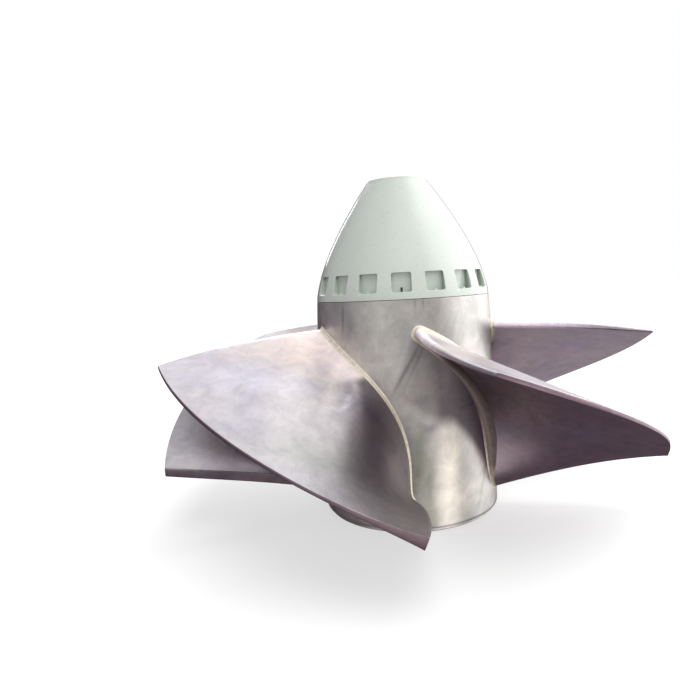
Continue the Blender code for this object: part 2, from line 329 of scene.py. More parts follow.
def upper_tint(chord, span):
    """Painted light, bright and matt, beside the root's top, then a painted dark reflection as a wedge below
    the painted highlight patch.
    """
    reach = np.interp(chord, WEDGE_CHORDS, WEDGE_SPANS)
    soft = np.interp(chord, (0.2, 0.36, 0.6), (0.04, 0.10, 0.40))
    wedge = smooth(reach - span, -0.5 * soft, 0.5 * soft) * smooth(chord, 0.19, 0.215)
    lift = smooth(chord, 0.225, 0.19) * smooth(span, 0.38, 0.06)
    tint = with_matt(1.0 + spots(chord, span, UPPER_SPOTS), 0.10)
    return tint + wedge[:, None] * WEDGE_PAINTED_REFLECTION + lift[:, None] * ROOT_PAINTED_LIGHT


def with_matt(tint, share):
    """Tints with the share of the light that the ground surface scatters."""
    return np.concatenate([tint, np.full((len(tint), 1), share)], 1)


def blade_tint(chord, runs, span):
    """Tints round one section: the upper face, the lower face, and a painted highlight on the nose near the
    root.
    """
    half = len(chord) // 2
    lower = LOWER_TINT + spots(chord[half:], np.full(half, span), LOWER_SPOTS)
    tints = np.concatenate([upper_tint(chord[:half], span), with_matt(lower, 0.0)])
    nose = smooth(runs, NOSE_REACH, 0.3 * NOSE_REACH) * smooth(span, 0.75, 0.25)
    return tints + nose[:, None] * NOSE_PAINTED_HIGHLIGHT


def blade_rings():
    """Radii from the root to the tip and how much each section is thinned for the tip's bevel."""
    spans = np.linspace(0.0, 1.0, SPAN_STEPS + 1) ** SPAN_CROWDING
    radii = [mix(HUB_RADIUS, TIP_RADIUS, s) for s in spans[:-1]]
    radii += [TIP_RADIUS - 2.0 * TIP_BEVEL, TIP_RADIUS - TIP_BEVEL, TIP_RADIUS - 0.3 * TIP_BEVEL, TIP_RADIUS]
    thins = [0.0] * (len(radii) - 2) + [0.3 * TIP_BEVEL, TIP_BEVEL]
    return radii, thins


def tip_cap(count, start, run):
    """Faces and UVs that close the tip between the two sides of its outline."""
    faces = []
    uvs = []
    for i in range(count // 2 - 1):
        faces.append((start + i, start + i + 1, start + count - 2 - i, start + count - 1 - i))
        for step, side in ((0, 0.0), (1, 0.0), (1, 1.0), (0, 1.0)):
            uvs.append((run[i + step], TIP_RADIUS + 0.01 + 0.05 * side))
    return faces, uvs


def make_blade(number, material):
    """One ground blade from the barrel to its bevelled tip."""
    turn = FIRST_BLADE_TURN + number * BLADE_PITCH
    radii, thins = blade_rings()
    points, runs, tints = [], [], []
    for radius, thin in zip(radii, thins):
        span = (radius - HUB_RADIUS) / (TIP_RADIUS - HUB_RADIUS)
        outline, run, chord = section(span, thin)
        points.append(wrap(outline, radius, turn))
        runs.append(run)
        # Painted shade: the blade's whole tint is scaled by its own lightness.
        tints.append(blade_tint(chord, run, span) * (*(BLADE_PAINTED_SHADE[number],) * 3, 1.0))
    tints[-1] = tints[-1] * END_TINT
    count = len(points[0])
    cap_faces, cap_uvs = tip_cap(count, (len(radii) - 1) * count, runs[-1])
    faces = grid_faces(len(radii), count, closed=True) + cap_faces
    uvs = ring_uvs(runs, radii) + cap_uvs
    name = f"blade_skin_{number + 1}"
    piece = new_piece(name, np.concatenate(points), faces, material, uvs, np.concatenate(tints), 45.0)
    piece.data.flip_normals()
    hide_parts(f"blade_{number + 1}")


def ring_uvs(runs, sides):
    """UVs per corner of a closed grid: the run along each ring, and one value per ring."""
    uvs = []
    count = len(runs[0])
    for i in range(len(runs) - 1):
        for j in range(count):
            k = (j + 1) % count
            for row, column in ((i, j), (i, k), (i + 1, k), (i + 1, j)):
                uvs.append((runs[row][column], sides[row]))
    return uvs


# Weld beads, narrow on the upper side of a blade and a broad fillet under it
BEAD_CHORDS = (0.0, 0.10, 0.35, 0.55, 0.72, 0.85, 1.0)
BEAD_LEGS_ABOVE = (0.018, 0.017, 0.014, 0.010, 0.008, 0.008, 0.009)
BEAD_LEGS_BELOW = (0.018, 0.028, 0.048, 0.050, 0.034, 0.014, 0.010)
BEAD_RIDGES = (0.0016, 0.0016, 0.0014, 0.0004, 0.0, 0.0, 0.0)
# Painted light on the bead: brighter on top of the blade, painted shade under it, and a painted highlight
# line below, towards the trailing edge.
BEAD_PAINTED_LIGHT_ABOVE = (1.15, 1.05, 0.95, 1.15, 1.40, 1.40, 1.40)
BEAD_PAINTED_LIGHT_BELOW = (0.95, 0.14, 0.18, 0.17, 0.20, 0.70, 1.20)
BEAD_PAINTED_HIGHLIGHT_BELOW = (0.0, 0.0, 0.0, 0.50, 1.20, 0.70, 0.0)
BEAD_CREAM = (1.00, 0.99, 0.93)
BEAD_BROWN = (1.18, 0.98, 1.04)
BEAD_MATT = 0.3
BEAD_HOLLOW = 1.7
BEAD_LIFT = 0.0006
BEAD_REACH = 0.0004
BEAD_SPAN_STEP = 0.04


def bead_values(chord, above, below):
    """Values round the root outline, from one table above the blade and one below it."""
    half = len(chord) // 2
    upper = np.interp(chord[:half], BEAD_CHORDS, above)
    lower = np.interp(chord[half:], BEAD_CHORDS, below)
    return np.concatenate([upper, lower])


def bead_ring(t, near, far, far_radius, normals, legs, ridges):
    """The bead's line at a share t of the way from the blade to the barrel, as radii, angles, heights."""
    ridge = ridges * math.sin(2.0 * math.pi * t) ** 2
    lift = legs * (1.0 - t) ** BEAD_HOLLOW + BEAD_LIFT + ridge * t
    out = legs * t ** BEAD_HOLLOW + BEAD_REACH + ridge * (1.0 - t)
    part = lift / (far_radius - HUB_RADIUS)
    angles = mix(near[:, 0] / HUB_RADIUS, far[:, 0] / far_radius, part)
    angles = angles + normals[:, 0] * out / (HUB_RADIUS + lift)
    heights = mix(near[:, 1], far[:, 1], part) + normals[:, 1] * out
    return HUB_RADIUS + lift, angles, heights


def bead_tint(t, light, line, ridges):
    """Painted shade in the grooves beside the ridges, a painted highlight on the line, and browner where the
    painted light is dark.
    """
    groove_shade = 1.0 - 0.30 * math.cos(2.0 * math.pi * t) ** 8 * ridges / max(BEAD_RIDGES)
    shade = (light * groove_shade + line * smooth(t, 0.72, 0.88))[:, None]
    return with_matt(shade * mix(BEAD_BROWN, np.array(BEAD_CREAM), smooth(shade, 0.25, 0.8)), BEAD_MATT)


def make_weld(number, material):
    """The dressed bead between blade and barrel, hollow like a fillet with two low ridges on top."""
    turn = FIRST_BLADE_TURN + number * BLADE_PITCH
    near, runs, chord = section(0.0)
    far, _, _ = section(BEAD_SPAN_STEP)
    far_radius = mix(HUB_RADIUS, TIP_RADIUS, BEAD_SPAN_STEP)
    normals = outward_normals(near)
    none = (0.0,) * len(BEAD_CHORDS)
    legs = bead_values(chord, BEAD_LEGS_ABOVE, BEAD_LEGS_BELOW)
    ridges = bead_values(chord, BEAD_RIDGES, none)
    light = bead_values(chord, BEAD_PAINTED_LIGHT_ABOVE, BEAD_PAINTED_LIGHT_BELOW)
    line = bead_values(chord, none, BEAD_PAINTED_HIGHLIGHT_BELOW)
    points, tints, sides = [], [], []
    for i in range(WELD_RINGS + 1):
        t = i / WELD_RINGS
        radii, angles, heights = bead_ring(t, near, far, far_radius, normals, legs, ridges)
        points.append(at_angle(radii, angles + turn, heights))
        tints.append(bead_tint(t, light, line, ridges))
        sides.append(0.03 * t)
    faces = grid_faces(WELD_RINGS + 1, len(near), closed=True)
    uvs = ring_uvs([runs] * (WELD_RINGS + 1), sides)
    name = f"weld_bead_{number + 1}"
    piece = new_piece(name, np.concatenate(points), faces, material, uvs, np.concatenate(tints), 60.0)
    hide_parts(f"root_weld_{number + 1}")


# Cone

def cone_radius(height):
    """The ogive's radius at a height."""
    rise = np.clip((height - HUB_TOP) / (CONE_TOP - HUB_TOP), 0.0, 1.0)
    return mix(HUB_TOP_RADIUS, CONE_TOP_RADIUS, rise ** CONE_CURVE)


def rounded_window():
    """The points of a pocket's rounded rectangle, as (sideways, height)."""
    half = POCKET_WIDTH / 2.0 - POCKET_CORNER
    low, high = POCKET_BOTTOM + POCKET_CORNER, POCKET_TOP - POCKET_CORNER
    corners = ((-half, high, 180.0), (half, high, 90.0), (half, low, 0.0), (-half, low, -90.0))
    arcs = []
    for x, z, start in corners:
        turns = np.radians(start - 90.0 * np.arange(WINDOW_POINTS + 1) / WINDOW_POINTS)
        arcs.append(np.stack([x + POCKET_CORNER * np.cos(turns), z + POCKET_CORNER * np.sin(turns)], -1))
    points = []
    for arc, following in zip(arcs, arcs[1:] + arcs[:1]):
        points.append(arc)
        steps = np.arange(1, WINDOW_POINTS)[:, None] / WINDOW_POINTS
        points.append(mix(arc[-1], following[0], steps))
    return np.concatenate(points)


def patch_border(window, half_turn, low, high):
    """Points on the border of a pocket's patch that face the window's points."""
    dx = window[:, 0] / (POCKET_WIDTH / 2.0)
    dz = (window[:, 1] - POCKET_MIDDLE) / ((POCKET_TOP - POCKET_BOTTOM) / 2.0)
    scale = 1.0 / np.maximum(np.abs(dx), np.abs(dz))
    up = dz * scale
    reach = np.where(up > 0.0, high - POCKET_MIDDLE, POCKET_MIDDLE - low)
    return np.stack([half_turn * dx * scale, POCKET_MIDDLE + up * reach], -1)


def pocket_painted_shade(window, ring_count):
    """Painted shade in a pocket: darker on the side that faces down and on its right side, where the rim
    shades the recess.
    """
    right = smooth(window[:, 0], 0.30 * POCKET_WIDTH, 0.46 * POCKET_WIDTH)
    top = smooth(window[:, 1], POCKET_TOP - 0.018, POCKET_TOP - 0.004)
    shade = 1.0 - np.maximum(0.50 * right, 0.58 * top)
    inside = shade[:, None] * (0.98, 1.03, 0.97)
    return [np.ones((len(window), 3))] * (ring_count - 2) + [inside] * 2


def pocket_rings(window, border, turn):
    """Rings from the patch's border over the rim and down the pocket's sides."""
    grown = window + np.sign(window - (0.0, POCKET_MIDDLE)) * POCKET_BEVEL
    rim = np.stack([np.arcsin(grown[:, 0] / cone_radius(grown[:, 1])), grown[:, 1]], -1)
    rings = []
    for t in (1.0, 0.66, 0.33, 0.0):
        mixed = mix(rim, border, t)
        rings.append(at_angle(cone_radius(mixed[:, 1]), mixed[:, 0] + turn, mixed[:, 1]))
    x, z = window.T
    outward = np.array([math.sin(turn), -math.cos(turn), 0.0])
    sideways = np.array([math.cos(turn), math.sin(turn), 0.0])
    flat = sideways * x[:, None] + np.array([0.0, 0.0, 1.0]) * z[:, None]
    face = np.sqrt(cone_radius(z) ** 2 - x ** 2)
    back = np.sqrt(POCKET_BACK_RADIUS ** 2 - x ** 2)
    for depth in (face - POCKET_BEVEL, mix(face, back, 0.5), back):
        rings.append(flat + outward * depth[:, None])
    return rings


def make_cone_band(paint):
    """The band of the cone with the bolt pockets: outer face and the pockets' sides."""
    window = rounded_window()
    border = patch_border(window, POCKET_PITCH / 2.0, BAND_BOTTOM, BAND_TOP)
    points = []
    faces = []
    tints = []
    for number in range(POCKET_COUNT):
        rings = pocket_rings(window, border, number * POCKET_PITCH)
        # Painted shade deep in each pocket, at its top and its right side.
        tints += pocket_painted_shade(window, len(rings))
        base = len(points)
        for ring in rings:
            points += list(ring)
        for face in grid_faces(len(rings), len(window), closed=True):
            faces.append(tuple(base + i for i in face))
    piece = new_piece("cone_band", points, faces, paint, tint=np.concatenate(tints))
    join_points(piece, JOIN_DISTANCE)
    for number in range(POCKET_COUNT):
        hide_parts(f"cone_land_{number + 1:02d}")
    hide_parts("cone_base_ring")


def join_points(piece, distance):
    """Points that meet become one, and all faces look outwards."""
    bm = bmesh.new()
    bm.from_mesh(piece.data)
    bmesh.ops.remove_doubles(bm, verts=bm.verts, dist=distance)
    bmesh.ops.recalc_face_normals(bm, faces=bm.faces)
    bm.to_mesh(piece.data)
    bm.free()
    piece.data.shade_smooth()
    piece.data.set_sharp_from_angle(angle=math.radians(35.0))


def cone_profile():
    """The ogive above the pockets, with its rounded top rim."""
    heights = np.linspace(BAND_TOP, CONE_TOP - CONE_TOP_ROUNDING, CONE_ROWS)
    profile = [(float(cone_radius(z)), float(z)) for z in heights]
    wide, _ = profile[-1]
    for i in range(1, CONE_RIM_STEPS + 1):
        turn = math.radians(90.0 * i / CONE_RIM_STEPS)
        profile.append((wide - CONE_TOP_ROUNDING * (1.0 - math.cos(turn)),
                        CONE_TOP - CONE_TOP_ROUNDING * (1.0 - math.sin(turn))))
    return profile


def make_cone(paint):
    """The pocket band, the ogive over it, the end plate behind a fine seam, and the pockets' back wall."""
    make_cone_band(paint)
    profile = cone_profile()
    profile += [(LID_RADIUS, CONE_TOP), (LID_RADIUS - GAP, CONE_TOP - SEAM_DEPTH)]
    shell = turned("cone_skin", profile, paint)
    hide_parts("cone_shell")
    top = CONE_TOP - LID_DROP
    edge = LID_RADIUS - LID_GAP
    plate = turned("cone_lid", [(edge, CONE_TOP - SEAM_DEPTH), (edge - LID_BEVEL, top),
                                (LID_RADIUS * 0.5, top), (AXIS_HOLE, top)], paint)
    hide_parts("cone_end_plate")
    back = [(POCKET_BACK_RADIUS, POCKET_BOTTOM - POCKET_OVERLAP),
            (POCKET_BACK_RADIUS, POCKET_TOP + POCKET_OVERLAP)]
    wall = turned("pocket_wall", back, paint)
    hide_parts("pocket_back_wall")


# Bolts in the pockets

def round_stack(outline, centre, sides):
    """Points and faces of a (radius, height) outline round an upright axis, closed on top."""
    turns = np.arange(sides) * math.tau / sides
    rings = []
    for radius, height in outline:
        x = centre[0] + radius * np.cos(turns)
        y = centre[1] + radius * np.sin(turns)
        rings.append(np.stack([x, y, np.full(sides, height)], -1))
    last = (len(outline) - 1) * sides
    faces = grid_faces(len(outline), sides, closed=True)
    return list(np.concatenate(rings)), faces + [tuple(range(last, last + sides))]


def head_outline(low):
    """A socket head screw, sunk to its painted head."""
    high = low + SCREW_HEAD_HEIGHT
    return ((SCREW_HEAD_RADIUS, low), (SCREW_HEAD_RADIUS, high - SCREW_BEVEL),
            (SCREW_HEAD_RADIUS - SCREW_BEVEL, high), (SCREW_SOCKET_RADIUS + 0.5 * SCREW_BEVEL, high),
            (SCREW_SOCKET_RADIUS, high - 0.5 * SCREW_BEVEL), (SCREW_SOCKET_RADIUS, low + SCREW_SOCKET_FLOOR))


def stud_outline(low):
    """The one bare stud end that stands up in the front pocket."""
    inward, down = STUD_BEVEL
    high = low + STUD_HEIGHT
    return ((STUD_RADIUS, low), (STUD_RADIUS, high - down), (STUD_RADIUS - inward, high))


def bolt_group(name, numbers, outline, material, radius, sides):
    """The same small turned part in several pockets, as one piece."""
    points = []
    faces = []
    for number in numbers:
        turn = number * POCKET_PITCH
        centre = (radius * math.sin(turn), -radius * math.cos(turn))
        more, rings = round_stack(outline(POCKET_BOTTOM), centre, sides)
        base = len(points)
        points += more
        faces += [tuple(base + i for i in face) for face in rings]
    piece = new_piece(name, points, faces, material, tint=np.ones((len(points), 3)), sharp=25.0)


def make_bolts(paint, bare):
    """A painted screw in every pocket, and one bare stud in the front one."""
    every = range(POCKET_COUNT)
    bolt_group("pocket_screws", every, head_outline, paint, BOLT_CIRCLE, SCREW_SIDES)
    bolt_group("front_stud", (0,), stud_outline, bare, STUD_CIRCLE, STUD_SIDES)


# Hub, with lighter and darker zones, partly grinding streaks and marks and partly painted highlights and
# painted shade: degrees round, height, tilt, half widths, amounts
HUB_SPOTS = (
    (28.0, 0.42, 80.0, 0.13, 0.045, (0.30, 0.28, 0.22)),
    (24.0, 0.30, 85.0, 0.12, 0.050, (0.20, 0.19, 0.15)),
    (26.0, 0.15, 20.0, 0.12, 0.10, (0.34, 0.31, 0.27)),
    (13.8, 0.545, 30.0, 0.05, 0.025, (-0.30, -0.32, -0.24)),
    (4.0, 0.90, 61.0, 0.20, 0.012, (-0.28, -0.28, -0.28)),
    (-2.0, 0.82, 58.0, 0.14, 0.010, (-0.26, -0.26, -0.26)),
    (1.0, 0.84, 60.0, 0.12, 0.008, (0.14, 0.14, 0.13)),
    (9.0, 0.93, 64.0, 0.13, 0.012, (-0.24, -0.26, -0.26)),
    (6.0, 0.84, 62.0, 0.12, 0.008, (0.12, 0.12, 0.12)),
    (5.0, 0.36, 85.0, 0.22, 0.034, (-0.36, -0.30, -0.40)),
    (11.0, 0.24, 85.0, 0.14, 0.022, (-0.26, -0.21, -0.28)),
    (12.0, 0.07, 80.0, 0.08, 0.030, (-0.30, -0.26, -0.32)),
    (52.0, 0.24, 70.0, 0.12, 0.012, (-0.26, -0.24, -0.30)),
    (-20.0, 1.00, 50.0, 0.12, 0.030, (0.08, 0.08, 0.07)),
)
FRONT_SPOTS = (
    (-38.8, 1.13, 90.0, 0.090, 0.007, (-0.34, -0.36, -0.28)),
    (-40.5, 1.03, 82.0, 0.070, 0.010, (-0.14, -0.14, -0.12)),
    (-33.0, 1.06, 80.0, 0.060, 0.010, (-0.08, -0.08, -0.08)),
    (7.2, 1.175, 90.0, 0.030, 0.004, (-0.40, -0.42, -0.42)),
    (12.0, 1.178, 90.0, 0.028, 0.004, (-0.30, -0.32, -0.32)),
)
# Where the painted shadow under each blade's nose lies on the barrel: its lower edge by phase, its depth by
# phase, its left edge by height, and its top.
NOSE_SHADE_PHASES = (-10.0, 0.0, 10.0, 15.0, 20.0, 28.0, 35.0, 42.0, 50.0, 60.0)
NOSE_SHADE_HEIGHTS = (0.72, 0.67, 0.61, 0.575, 0.56, 0.55, 0.49, 0.42, 0.33, 0.20)
NOSE_SHADE_DEPTHS = ((-9.0, 0.10), (2.0, 0.26), (12.0, 0.48), (20.0, 0.74), (50.0, 0.80))
NOSE_SHADE_LEFT_HEIGHTS = (0.50, 0.72, 1.05)
NOSE_SHADE_LEFT_PHASES = (-13.0, -9.5, 5.0)
NOSE_SHADE_TOP = 1.06


def around(table):
    """A table with its degrees round the barrel turned into metres."""
    return [(HUB_RADIUS * math.radians(row[0]), *row[1:]) for row in table]


def root_angle(height):
    """Where the first blade's root curve stands at a height, in degrees."""
    line = middle_line(np.linspace(1.0, 0.0, 200), 0.0)
    return float(np.interp(height, line[:, 1], np.degrees(line[:, 0] / HUB_RADIUS)))


def painted_nose_shade(phase, height):
    """Painted shadow and dark reflection on the barrel under a blade's nose, where the blade above shades
    it.
    """
    low = np.interp(phase, NOSE_SHADE_PHASES, NOSE_SHADE_HEIGHTS)
    left = np.interp(height, NOSE_SHADE_LEFT_HEIGHTS, NOSE_SHADE_LEFT_PHASES)
    depths = np.interp(phase, *zip(*NOSE_SHADE_DEPTHS)) * (height < NOSE_SHADE_TOP)
    return depths * smooth(height - low, -0.04, 0.06) * smooth(phase - left, -1.0, 3.0)


def hub_tint(angles, height):
    """Alike zones in the five passages between the blades, partly painted highlights and painted shade, and
    a few marks on the front only.
    """
    front = (angles + math.pi) % math.tau - math.pi
    pitch = math.degrees(BLADE_PITCH)
    edge = root_angle(height)
    phase = (np.degrees(angles) - edge) % pitch + edge - pitch
    tint = 1.0 + spots(HUB_RADIUS * np.radians(phase), height, around(HUB_SPOTS))
    tint += spots(HUB_RADIUS * front, height, around(FRONT_SPOTS))
    # The painted shade under each blade's nose darkens the tint.
    return tint * (1.0 - painted_nose_shade(phase, height)[:, None] * (1.0, 1.03, 0.99))


def hub_profile():
    """The barrel's outside from its lower edge to its top, with close rows for the tint."""
    edge = 0.3 * EDGE_CHAMFER
    profile = [(HUB_INNER, HUB_BOTTOM), (HUB_RADIUS - EDGE_CHAMFER, HUB_BOTTOM),
               (HUB_RADIUS - edge, HUB_BOTTOM + edge)]
    for z in np.linspace(HUB_BOTTOM + EDGE_CHAMFER, HUB_TOP - TOP_ROUNDING, HUB_ROWS):
        rise = max(0.0, (z - HUB_TAPER_START) / (HUB_TOP - HUB_TAPER_START))
        profile.append((mix(HUB_RADIUS, HUB_TOP_RADIUS, rise), float(z)))
    return profile + [(HUB_TOP_RADIUS - TOP_ROUNDING, HUB_TOP), (HUB_TOP_RADIUS - TOP_LIP, HUB_TOP)]


def make_hub(steel):
    """The barrel, and the narrower spigot that it stands on."""
    hub = turned("barrel_skin", hub_profile(), steel, HUB_STEPS, tint=hub_tint)
    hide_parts("hub_barrel")
    profile = [(AXIS_HOLE, 0.0), (SPIGOT_RADIUS - EDGE_CHAMFER, 0.0), (SPIGOT_RADIUS, EDGE_CHAMFER),
               (SPIGOT_RADIUS, HUB_BOTTOM - GAP), (HUB_INNER, HUB_BOTTOM - GAP)]
    spigot = turned("spigot_skin", profile, steel)
    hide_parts("coupling_plate")


# Materials: lengths and widths of grinding strokes in metres, and how deep the steel's bumps are
STROKE_LENGTH = 0.14
STROKE_WIDTH = 0.0065
STROKE_DEPTH = 0.0008
WAVE_DEPTH = 0.010


class Graph:
    """Short calls to build a node tree."""

    def __init__(self, name):
        self.material = bpy.data.materials.new(name)
        self.material.use_nodes = True
        self.tree = self.material.node_tree
        self.shader = self.tree.nodes["Principled BSDF"]
        coords = self.node("ShaderNodeTexCoord")
        self.uv = coords.outputs["UV"]
        self.place = coords.outputs["Object"]

    def node(self, kind, **values):
        node = self.tree.nodes.new(kind)
        for key, value in values.items():
            setattr(node, key, value)
        return node

    def link(self, source, target):
        self.tree.links.new(source, target)

    def feed(self, socket, value):
        """A link, a colour or a number into a socket."""
        if isinstance(value, (int, float)):
            socket.default_value = value
        elif isinstance(value, tuple):
            socket.default_value = (*value, 1.0)
        else:
            self.link(value, socket)

    def finish(self, name, value):
        """A value for the shader itself."""
        self.feed(self.shader.inputs[name], value)

    def noise(self, vector, scale, detail=4.0, rough=0.55, distortion=0.0):
        node = self.node("ShaderNodeTexNoise")
        values = {"Scale": scale, "Detail": detail, "Roughness": rough, "Distortion": distortion}
        for key, value in values.items():
            node.inputs[key].default_value = value
        self.link(vector, node.inputs["Vector"])
        return node.outputs["Fac"]

    def strokes(self, along, across, turn, detail=3.0):
        """Noise drawn out along one direction of the flat surface."""
        node = self.node("ShaderNodeMapping", vector_type="TEXTURE")
        node.inputs["Scale"].default_value = (along, across, 1.0)
        node.inputs["Rotation"].default_value = (0.0, 0.0, turn)
        self.link(self.uv, node.inputs["Vector"])
        return self.noise(node.outputs["Vector"], 1.0, detail, 0.6, 0.3)

    def ramp(self, source, stops):
        """A value turned into a colour, by stops of place and colour."""
        node = self.node("ShaderNodeValToRGB")
        elements = node.color_ramp.elements
        while len(elements) < len(stops):
            elements.new(0.5)
        for element, (place, color) in zip(elements, stops):
            element.position = place
            element.color = (*color, 1.0)
        self.link(source, node.inputs["Fac"])
        return node.outputs["Color"]

    def map_range(self, source, low, high, to_low, to_high):
        node = self.node("ShaderNodeMapRange")
        for key, value in (("From Min", low), ("From Max", high), ("To Min", to_low), ("To Max", to_high)):
            node.inputs[key].default_value = value
        self.link(source, node.inputs["Value"])
        return node.outputs["Result"]

    def math(self, kind, a, b=0.0):
        node = self.node("ShaderNodeMath", operation=kind)
        self.feed(node.inputs[0], a)
        self.feed(node.inputs[1], b)
        return node.outputs["Value"]

    def blend_value(self, factor, a, b):
        """One number or the other, as the factor goes from 0 to 1."""
        node = self.node("ShaderNodeMix", data_type="FLOAT")
        self.feed(node.inputs[0], factor)
        self.feed(node.inputs[2], a)
        self.feed(node.inputs[3], b)
        return node.outputs[0]

    def scaled(self, color, factor):
        """A colour made lighter or darker by a number."""
        node = self.node("ShaderNodeVectorMath", operation="SCALE")
        self.feed(node.inputs[0], color)
        self.feed(node.inputs["Scale"], factor)
        return node.outputs["Vector"]

    def tinted(self, color, metallic):
        """A colour times the tint kept at the mesh's points, and less metallic where they are matt."""
        tint = self.node("ShaderNodeAttribute", attribute_name="tint")
        node = self.node("ShaderNodeVectorMath", operation="MULTIPLY")
        self.feed(node.inputs[0], color)
        self.feed(node.inputs[1], tint.outputs["Color"])
        self.finish("Base Color", node.outputs["Vector"])
        self.finish("Metallic", self.map_range(tint.outputs["Alpha"], 0.0, 1.0, metallic, 0.0))

    def bump(self, height, strength, distance, normal=None):
        node = self.node("ShaderNodeBump")
        node.inputs["Strength"].default_value = strength
        node.inputs["Distance"].default_value = distance
        self.link(height, node.inputs["Height"])
        if normal is not None:
            self.link(normal, node.inputs["Normal"])
        return node.outputs["Normal"]


def ground_steel(name, cool, warm, turns, roughness):
    """Stainless steel dressed with a hand grinder: fine strokes in patches of two directions."""
    g = Graph(name)
    first, second = (g.strokes(STROKE_LENGTH, STROKE_WIDTH, turn) for turn in turns)
    patches = g.map_range(g.noise(g.place, 4.5, 2.0, 0.5), 0.44, 0.56, 0.0, 1.0)
    stroke = g.blend_value(patches, first, second)
    clouds = g.noise(g.place, 2.6, 5.0, 0.62, 0.4)
    smudges = g.noise(g.place, 11.0, 4.0, 0.6, 0.8)
    tone = g.ramp(clouds, [(0.36, cool), (0.64, warm)])
    light = g.map_range(smudges, 0.3, 0.7, 0.86, 1.12)
    light = g.math("MULTIPLY", light, g.map_range(stroke, 0.3, 0.7, 0.93, 1.06))
    g.tinted(g.scaled(tone, light), 1.0)
    g.finish("Roughness", g.map_range(stroke, 0.3, 0.7, roughness - 0.04, roughness + 0.06))
    waves = g.bump(g.noise(g.place, 7.0, 2.0, 0.5), 0.22, WAVE_DEPTH)
    g.finish("Normal", g.bump(stroke, 0.20, STROKE_DEPTH, waves))
    return g.material


def weld_metal():
    """Dressed weld: fine ripples across the bead, with small lighter and darker patches."""
    g = Graph("weld_metal")
    ripples = g.node("ShaderNodeTexWave", wave_type="BANDS", bands_direction="X")
    for key, value in (("Scale", 26.0), ("Distortion", 3.0), ("Detail", 2.0), ("Detail Scale", 2.0)):
        ripples.inputs[key].default_value = value
    g.link(g.uv, ripples.inputs["Vector"])
    patches = g.noise(g.place, 40.0, 4.0, 0.6)
    tone = g.ramp(patches, [(0.3, (0.64, 0.59, 0.50)), (0.65, (0.84, 0.80, 0.71))])
    g.tinted(tone, 0.60)
    g.finish("Roughness", g.map_range(patches, 0.3, 0.7, 0.34, 0.48))
    normal = g.bump(ripples.outputs["Fac"], 0.18, 0.0015)
    g.finish("Normal", g.bump(patches, 0.2, 0.0015, normal))
    return g.material


def green_paint():
    """Pale green gloss paint with faint clouds."""
    g = Graph("mint_paint")
    clouds = g.noise(g.place, 3.0, 4.0, 0.6)
    g.tinted(g.ramp(clouds, [(0.3, (0.500, 0.570, 0.505)), (0.7, (0.535, 0.600, 0.540))]), 0.0)
    g.finish("Roughness", g.map_range(g.noise(g.place, 30.0, 3.0), 0.3, 0.7, 0.26, 0.34))
    g.finish("Coat Weight", 0.8)
    g.finish("Coat Roughness", 0.08)
    g.finish("Normal", g.bump(g.noise(g.place, 6.0, 2.0), 0.05, 0.004))
    return g.material


def bolt_metal():
    """Dark bare steel of the stud."""
    g = Graph("bolt_metal")
    grain = g.noise(g.place, 120.0, 3.0)
    g.finish("Base Color", g.ramp(grain, [(0.3, (0.04, 0.045, 0.04)), (0.7, (0.10, 0.10, 0.09))]))
    g.finish("Roughness", 0.5)
    g.finish("Metallic", 0.6)
    return g.material


# Stage, light and camera
FLOOR_HALF = 60.0
FLOOR_GLOW = 0.58


def make_floor():
    """A floor that is nearly white by its own glow, so that the sun's shadows stay soft and pale."""
    g = Graph("pale_floor")
    grain = g.noise(g.place, 2.0, 3.0)
    g.finish("Base Color", g.ramp(grain, [(0.3, (0.41, 0.42, 0.41)), (0.7, (0.43, 0.43, 0.43))]))
    g.finish("Roughness", 0.9)
    g.finish("Specular IOR Level", 0.0)
    g.finish("Emission Color", (1.0, 1.0, 1.0))
    g.finish("Emission Strength", FLOOR_GLOW)
    mesh = bpy.data.meshes.new("floor")
    s = FLOOR_HALF
    mesh.from_pydata([(-s, -s, 0), (s, -s, 0), (s, s, 0), (-s, s, 0)], [], [(0, 1, 2, 3)])
    mesh.materials.append(g.material)
    floor = bpy.data.objects.new("floor", mesh)
    bpy.context.scene.collection.objects.link(floor)
    floor.visible_glossy = False
    floor.visible_diffuse = False


# The room: its dim ground light, and soft bright areas as direction, start and full cosines, colour
ROOM_GROUND = (0.115, 0.092, 0.108)
ROOM_AREAS = (
    ((-0.05, 0.68, 0.73), 0.84, 0.96, (1.55, 1.55, 1.58)),
    ((0.90, 0.25, 0.40), 0.50, 0.82, (2.00, 1.99, 1.97)),
    ((-0.25, -0.95, 0.15), 0.35, 1.00, (0.78, 0.77, 0.75)),
    ((0.66, -0.62, -0.42), 0.945, 0.985, (2.00, 1.94, 1.84)),
    ((-0.90, 0.10, 0.45), 0.60, 0.92, (0.22, 0.22, 0.24)),
)


def room_color(tree, direction):
    """The sum of the room's bright areas over its ground light."""
    total = None
    for toward, start, full, color in ROOM_AREAS:
        dot = tree.nodes.new("ShaderNodeVectorMath")
        dot.operation = "DOT_PRODUCT"
        dot.inputs[1].default_value = Vector(toward).normalized()
        tree.links.new(direction, dot.inputs[0])
        step = tree.nodes.new("ShaderNodeMapRange")
        step.interpolation_type = "SMOOTHSTEP"
        step.inputs["From Min"].default_value = start
        step.inputs["From Max"].default_value = full
        tree.links.new(dot.outputs["Value"], step.inputs["Value"])
        area = tree.nodes.new("ShaderNodeVectorMath")
        area.operation = "MULTIPLY_ADD"
        area.inputs[1].default_value = color
        area.inputs[2].default_value = ROOM_GROUND
        tree.links.new(step.outputs["Result"], area.inputs[0])
        if total is not None:
            tree.links.new(total, area.inputs[2])
        total = area.outputs["Vector"]
    return total


